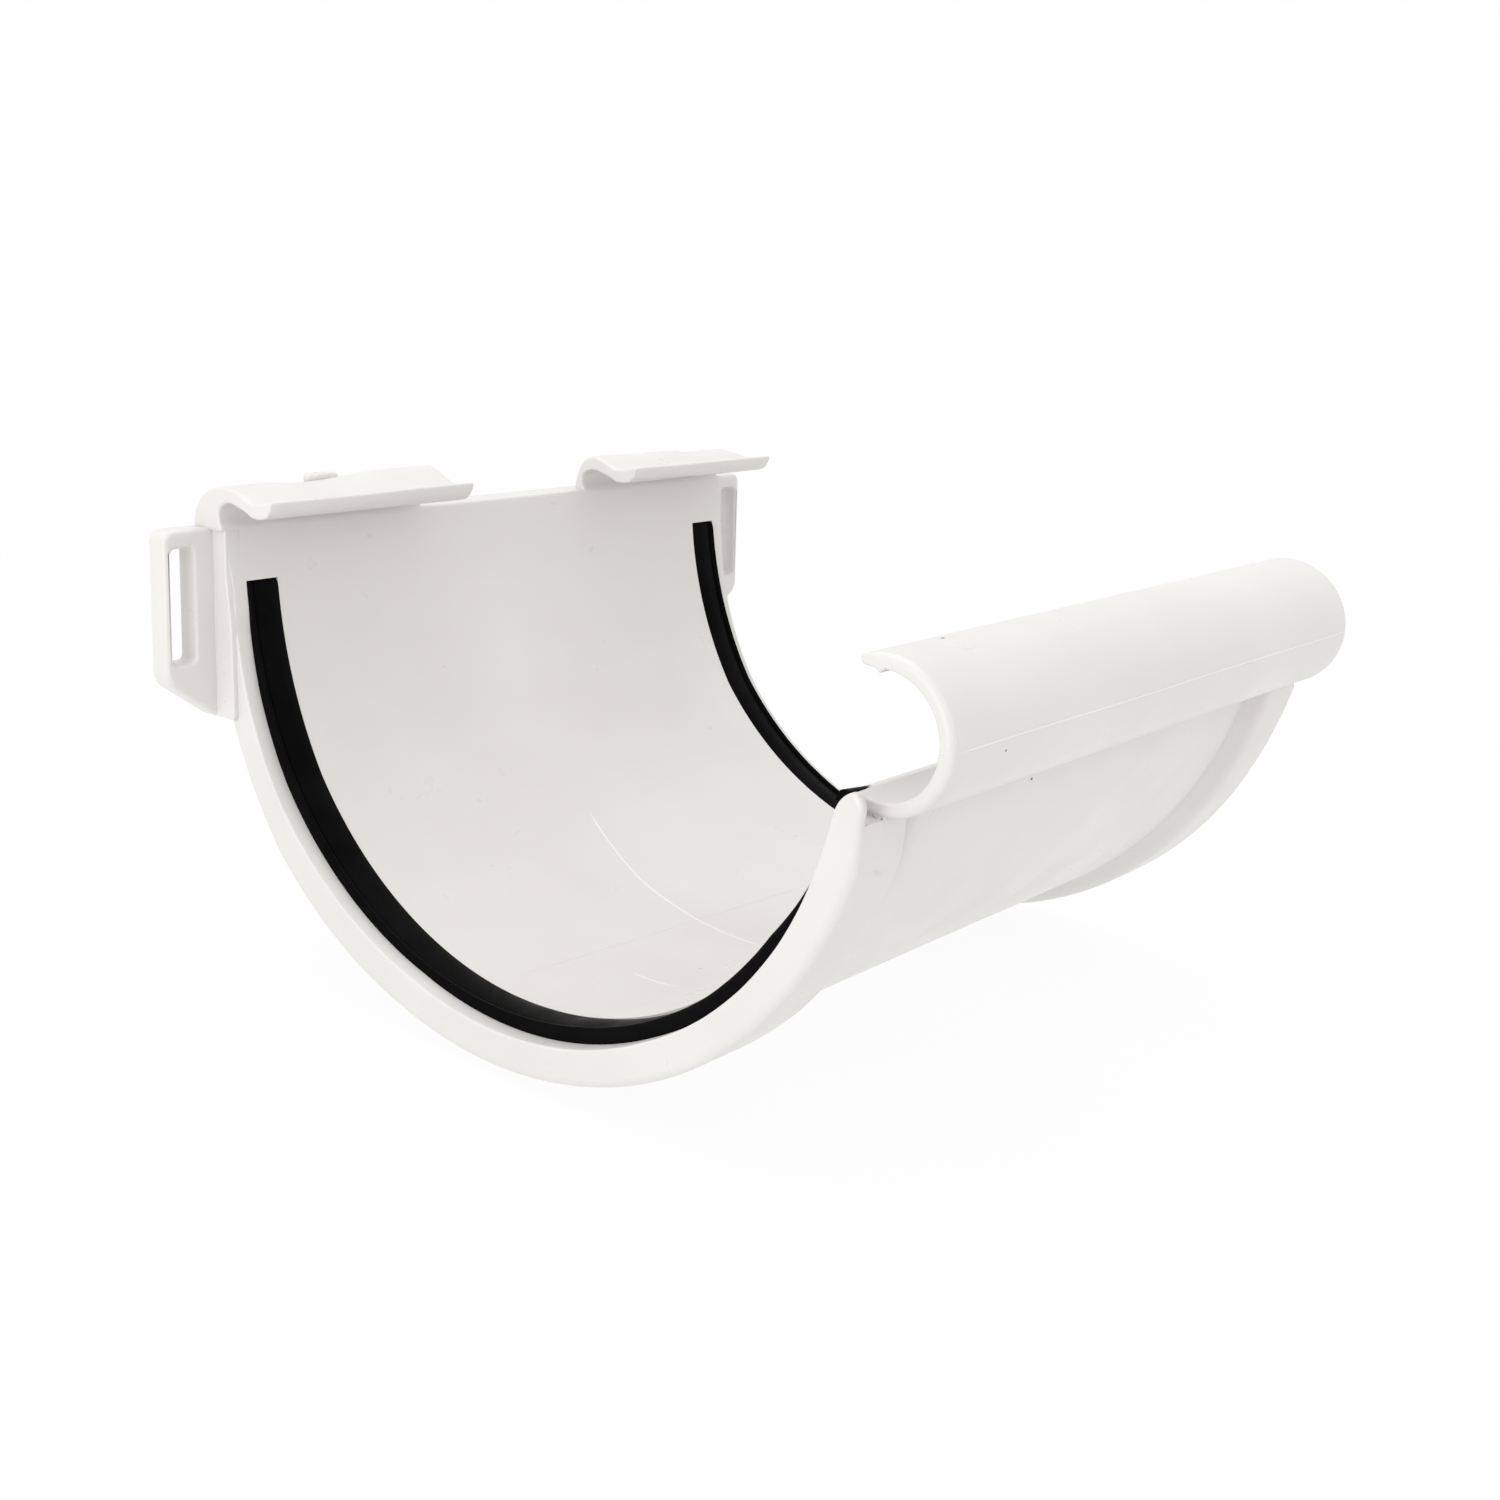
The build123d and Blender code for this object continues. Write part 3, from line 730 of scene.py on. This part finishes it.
# slanting arc across the floor near mid-length
arc_x = np.interp(np.linspace(-54.5, -101, 80), [-101, -94, -87, -79.5, -72, -54.5], [-11.0, -8.9, -7.7, -6.6, -5.9, -2.5])
wire(lines, [(X, *polar(R_IN + 0.02, a)) for a, X in zip(np.linspace(-54.5, -101, 80), arc_x)], 0.24, 8, 0.4)
# short raised dash
wire(lines, [(X, *polar(R_IN + 0.02, a)) for a, X in zip(np.linspace(-92.4, -104.9, 24), np.linspace(-32.1, -34.8, 24))],
     0.26, 8, 0.4)
# round ejector mark on top of the bead
ring_a = np.linspace(0, 2 * math.pi, 60)
ring_pts = []
for a in ring_a:
    X, w = -42.9 + 2.6 * math.cos(a), 2.2 * math.sin(a)
    ring_pts.append((X, -67.6 + w, BEAD[1] + math.sqrt(BEAD_RO ** 2 - (-67.6 + w - BEAD[0]) ** 2) - 0.01))
wire(lines, ring_pts, 0.08, 8, 0.6)
# the mould lines use the lighter PVC copy, a painted highlight
flash = make_object("mould_lines", lines, pvc_painted_highlight)
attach(flash, "root")


def blob(b, center, axes, size, rough, seed, n=22, m=12):
    """A small uneven lump; axes are three unit vectors, size its three half-widths."""
    rng = np.random.RandomState(seed)
    ph = rng.uniform(0, 6.28, 8)
    rings = []
    for j in range(1, m):
        v = math.pi * j / m
        ring = []
        for i in range(n):
            u = 2 * math.pi * i / n
            w = 1 + rough * (0.5 * math.sin(3 * u + ph[0]) * math.sin(2 * v + ph[1]) + 0.35 * math.sin(5 * u + ph[2] + 2 * v)
                             + 0.3 * math.sin(7 * u + ph[3]) * math.cos(3 * v + ph[4]))
            # a squarish outline
            cu, su = math.cos(u), math.sin(u)
            cu, su = math.copysign(abs(cu) ** 0.55, cu), math.copysign(abs(su) ** 0.55, su)
            q = np.array(center, float)
            q = q + np.array(axes[0]) * size[0] * w * cu * math.sin(v) ** 0.6
            q = q + np.array(axes[1]) * size[1] * w * su * math.sin(v) ** 0.6
            q = q + np.array(axes[2]) * size[2] * (math.copysign(abs(math.cos(v)) ** 0.6, math.cos(v)) + rough * 0.3 * math.sin(9 * u + ph[5]))
            ring.append(q)
        rings.append(np.array(ring))
    b.loft(rings)


# rough moulding stub on the near clip
stub = Builder()
blob(stub, (-41.9, 62.4, 9.75), ((1, 0, 0), (0, 1, 0), (0, 0, 1)), (3.2, 1.0, 0.85), 0.16, 5, 40, 14)
o = make_object("gate_stub", stub, gate_mat)
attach(o, "root")

# small dark inclusions in the surface
dots = Builder()
for X, Y, Z, r in ((-42.93, -65.48, 1.42, 0.30), (-44.01, -76.15, -10.67, 0.16), (-18.43, -64.65, -21.58, 0.16),
                   (51.81, -57.25, -37.0, 0.16)):
    up = np.array([0, Y, Z + 0.0]) - np.array([0, BEAD[0], BEAD[1]]) if Y < -65 else np.array([0, Y, Z])
    up = up / np.linalg.norm(up)
    sd = np.cross(up, (1, 0, 0))
    blob(dots, (X, Y, Z), ((1, 0, 0), tuple(sd), tuple(up)), (r, r, 0.05), 0.25, int(abs(X) * 10), 16, 8)
o = make_object("inclusions", dots, mark)
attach(o, "root")

# ------------------------------------------------------------------ stage
bm = bmesh.new()
bmesh.ops.create_grid(bm, x_segments=24, y_segments=24, size=2.5)
mesh = bpy.data.meshes.new("studio_floor")
bm.to_mesh(mesh)
bm.free()
floor = bpy.data.objects.new("studio_floor", mesh)
bpy.context.collection.objects.link(floor)
floor.location = (0, 0, -0.0712)
fm = bpy.data.materials.new("studio_floor")
fm.use_nodes = True
ft = fm.node_tree
ft.nodes.clear()
fout = ft.nodes.new("ShaderNodeOutputMaterial")
fd = ft.nodes.new("ShaderNodeBsdfPrincipled")
fd.inputs["Roughness"].default_value = 0.8
fn = noise(ft, 6, 2.0)
fr = ramp(ft, fn.outputs["Fac"], [(0.3, (0.945, 0.95, 0.947)), (0.7, (0.955, 0.96, 0.957))])
ft.links.new(fr.outputs[0], fd.inputs["Base Color"])
glow = ft.nodes.new("ShaderNodeEmission")
ft.links.new(fr.outputs[0], glow.inputs["Color"])
glow.inputs["Strength"].default_value = 1.04
half = ft.nodes.new("ShaderNodeMixShader")
half.inputs[0].default_value = 0.93
ft.links.new(fd.outputs[0], half.inputs[1])
ft.links.new(glow.outputs[0], half.inputs[2])
tr = ft.nodes.new("ShaderNodeBsdfTransparent")
tc = ft.nodes.new("ShaderNodeTexCoord")
ln = ft.nodes.new("ShaderNodeVectorMath")
ln.operation = "LENGTH"
ft.links.new(tc.outputs["Object"], ln.inputs[0])
mr = spread(ft, ln.outputs["Value"], 0, 1, 0.22, 0.75)
mr.interpolation_type = "SMOOTHERSTEP"
ms = ft.nodes.new("ShaderNodeMixShader")
ft.links.new(mr.outputs[0], ms.inputs[0])
ft.links.new(half.outputs[0], ms.inputs[1])
ft.links.new(tr.outputs[0], ms.inputs[2])
ft.links.new(ms.outputs[0], fout.inputs[0])
mesh.materials.append(fm)

# ----------------------------------------------------------------- lights
world = bpy.data.worlds.new("studio")
bpy.context.scene.world = world
world.use_nodes = True
bg = world.node_tree.nodes["Background"]
bg.inputs[0].default_value = (0.985, 0.99, 0.985, 1)
bg.inputs[1].default_value = 1.0


def area(name, place, target, size, power, color=(1, 1, 1)):
    light = bpy.data.lights.new(name, "AREA")
    light.shape = "RECTANGLE"
    light.size, light.size_y = size
    light.energy = power
    light.color = color
    o = bpy.data.objects.new(name, light)
    o.location = place
    d = Vector(target) - Vector(place)
    o.rotation_euler = d.to_track_quat("-Z", "Y").to_euler()
    bpy.context.collection.objects.link(o)
    return o


area("softbox_top", (0.0, 0.14, 0.72), (0, 0, 0), (0.8, 0.6), 1.9)
area("softbox_end", (-0.80, -0.10, 0.02), (0, 0, -0.02), (0.5, 0.6), 2.6)
area("softbox_front", (0.15, -0.85, 0.35), (0, 0, 0), (0.6, 0.5), 0.45)

# ----------------------------------------------------------------- camera
F_PX, PPX, PPY = 1831.636238, 679.053588, 603.267812
right_v = Vector((0.6748587180689493, -0.7376662506993342, 0.020352229006217804))
down_v = Vector((-0.11887825301379484, -0.13589312899922312, -0.983565462209399))
fwd_v = Vector((0.7283087749071288, 0.6613482895343328, -0.17940113802116686))
center = Vector((-0.22967263574812, -0.19094290523347415, 0.04572416662783942))
cam_data = bpy.data.cameras.new("photo_camera")
cam_data.sensor_fit = "HORIZONTAL"
cam_data.sensor_width = 36.0
cam_data.lens = 36.0 * F_PX / 1500.0
cam_data.shift_x = (750.0 - PPX) / 1500.0
cam_data.shift_y = (PPY - 750.0) / 1500.0
cam_data.clip_start = 0.01
cam_data.clip_end = 20
cam = bpy.data.objects.new("photo_camera", cam_data)
m = Matrix.Identity(4)
for i in range(3):
    m[i][0] = right_v[i]
    m[i][1] = -down_v[i]
    m[i][2] = -fwd_v[i]
    m[i][3] = center[i]
cam.matrix_world = m
bpy.context.collection.objects.link(cam)
bpy.context.scene.camera = cam
bpy.context.scene.view_settings.view_transform = "Standard"
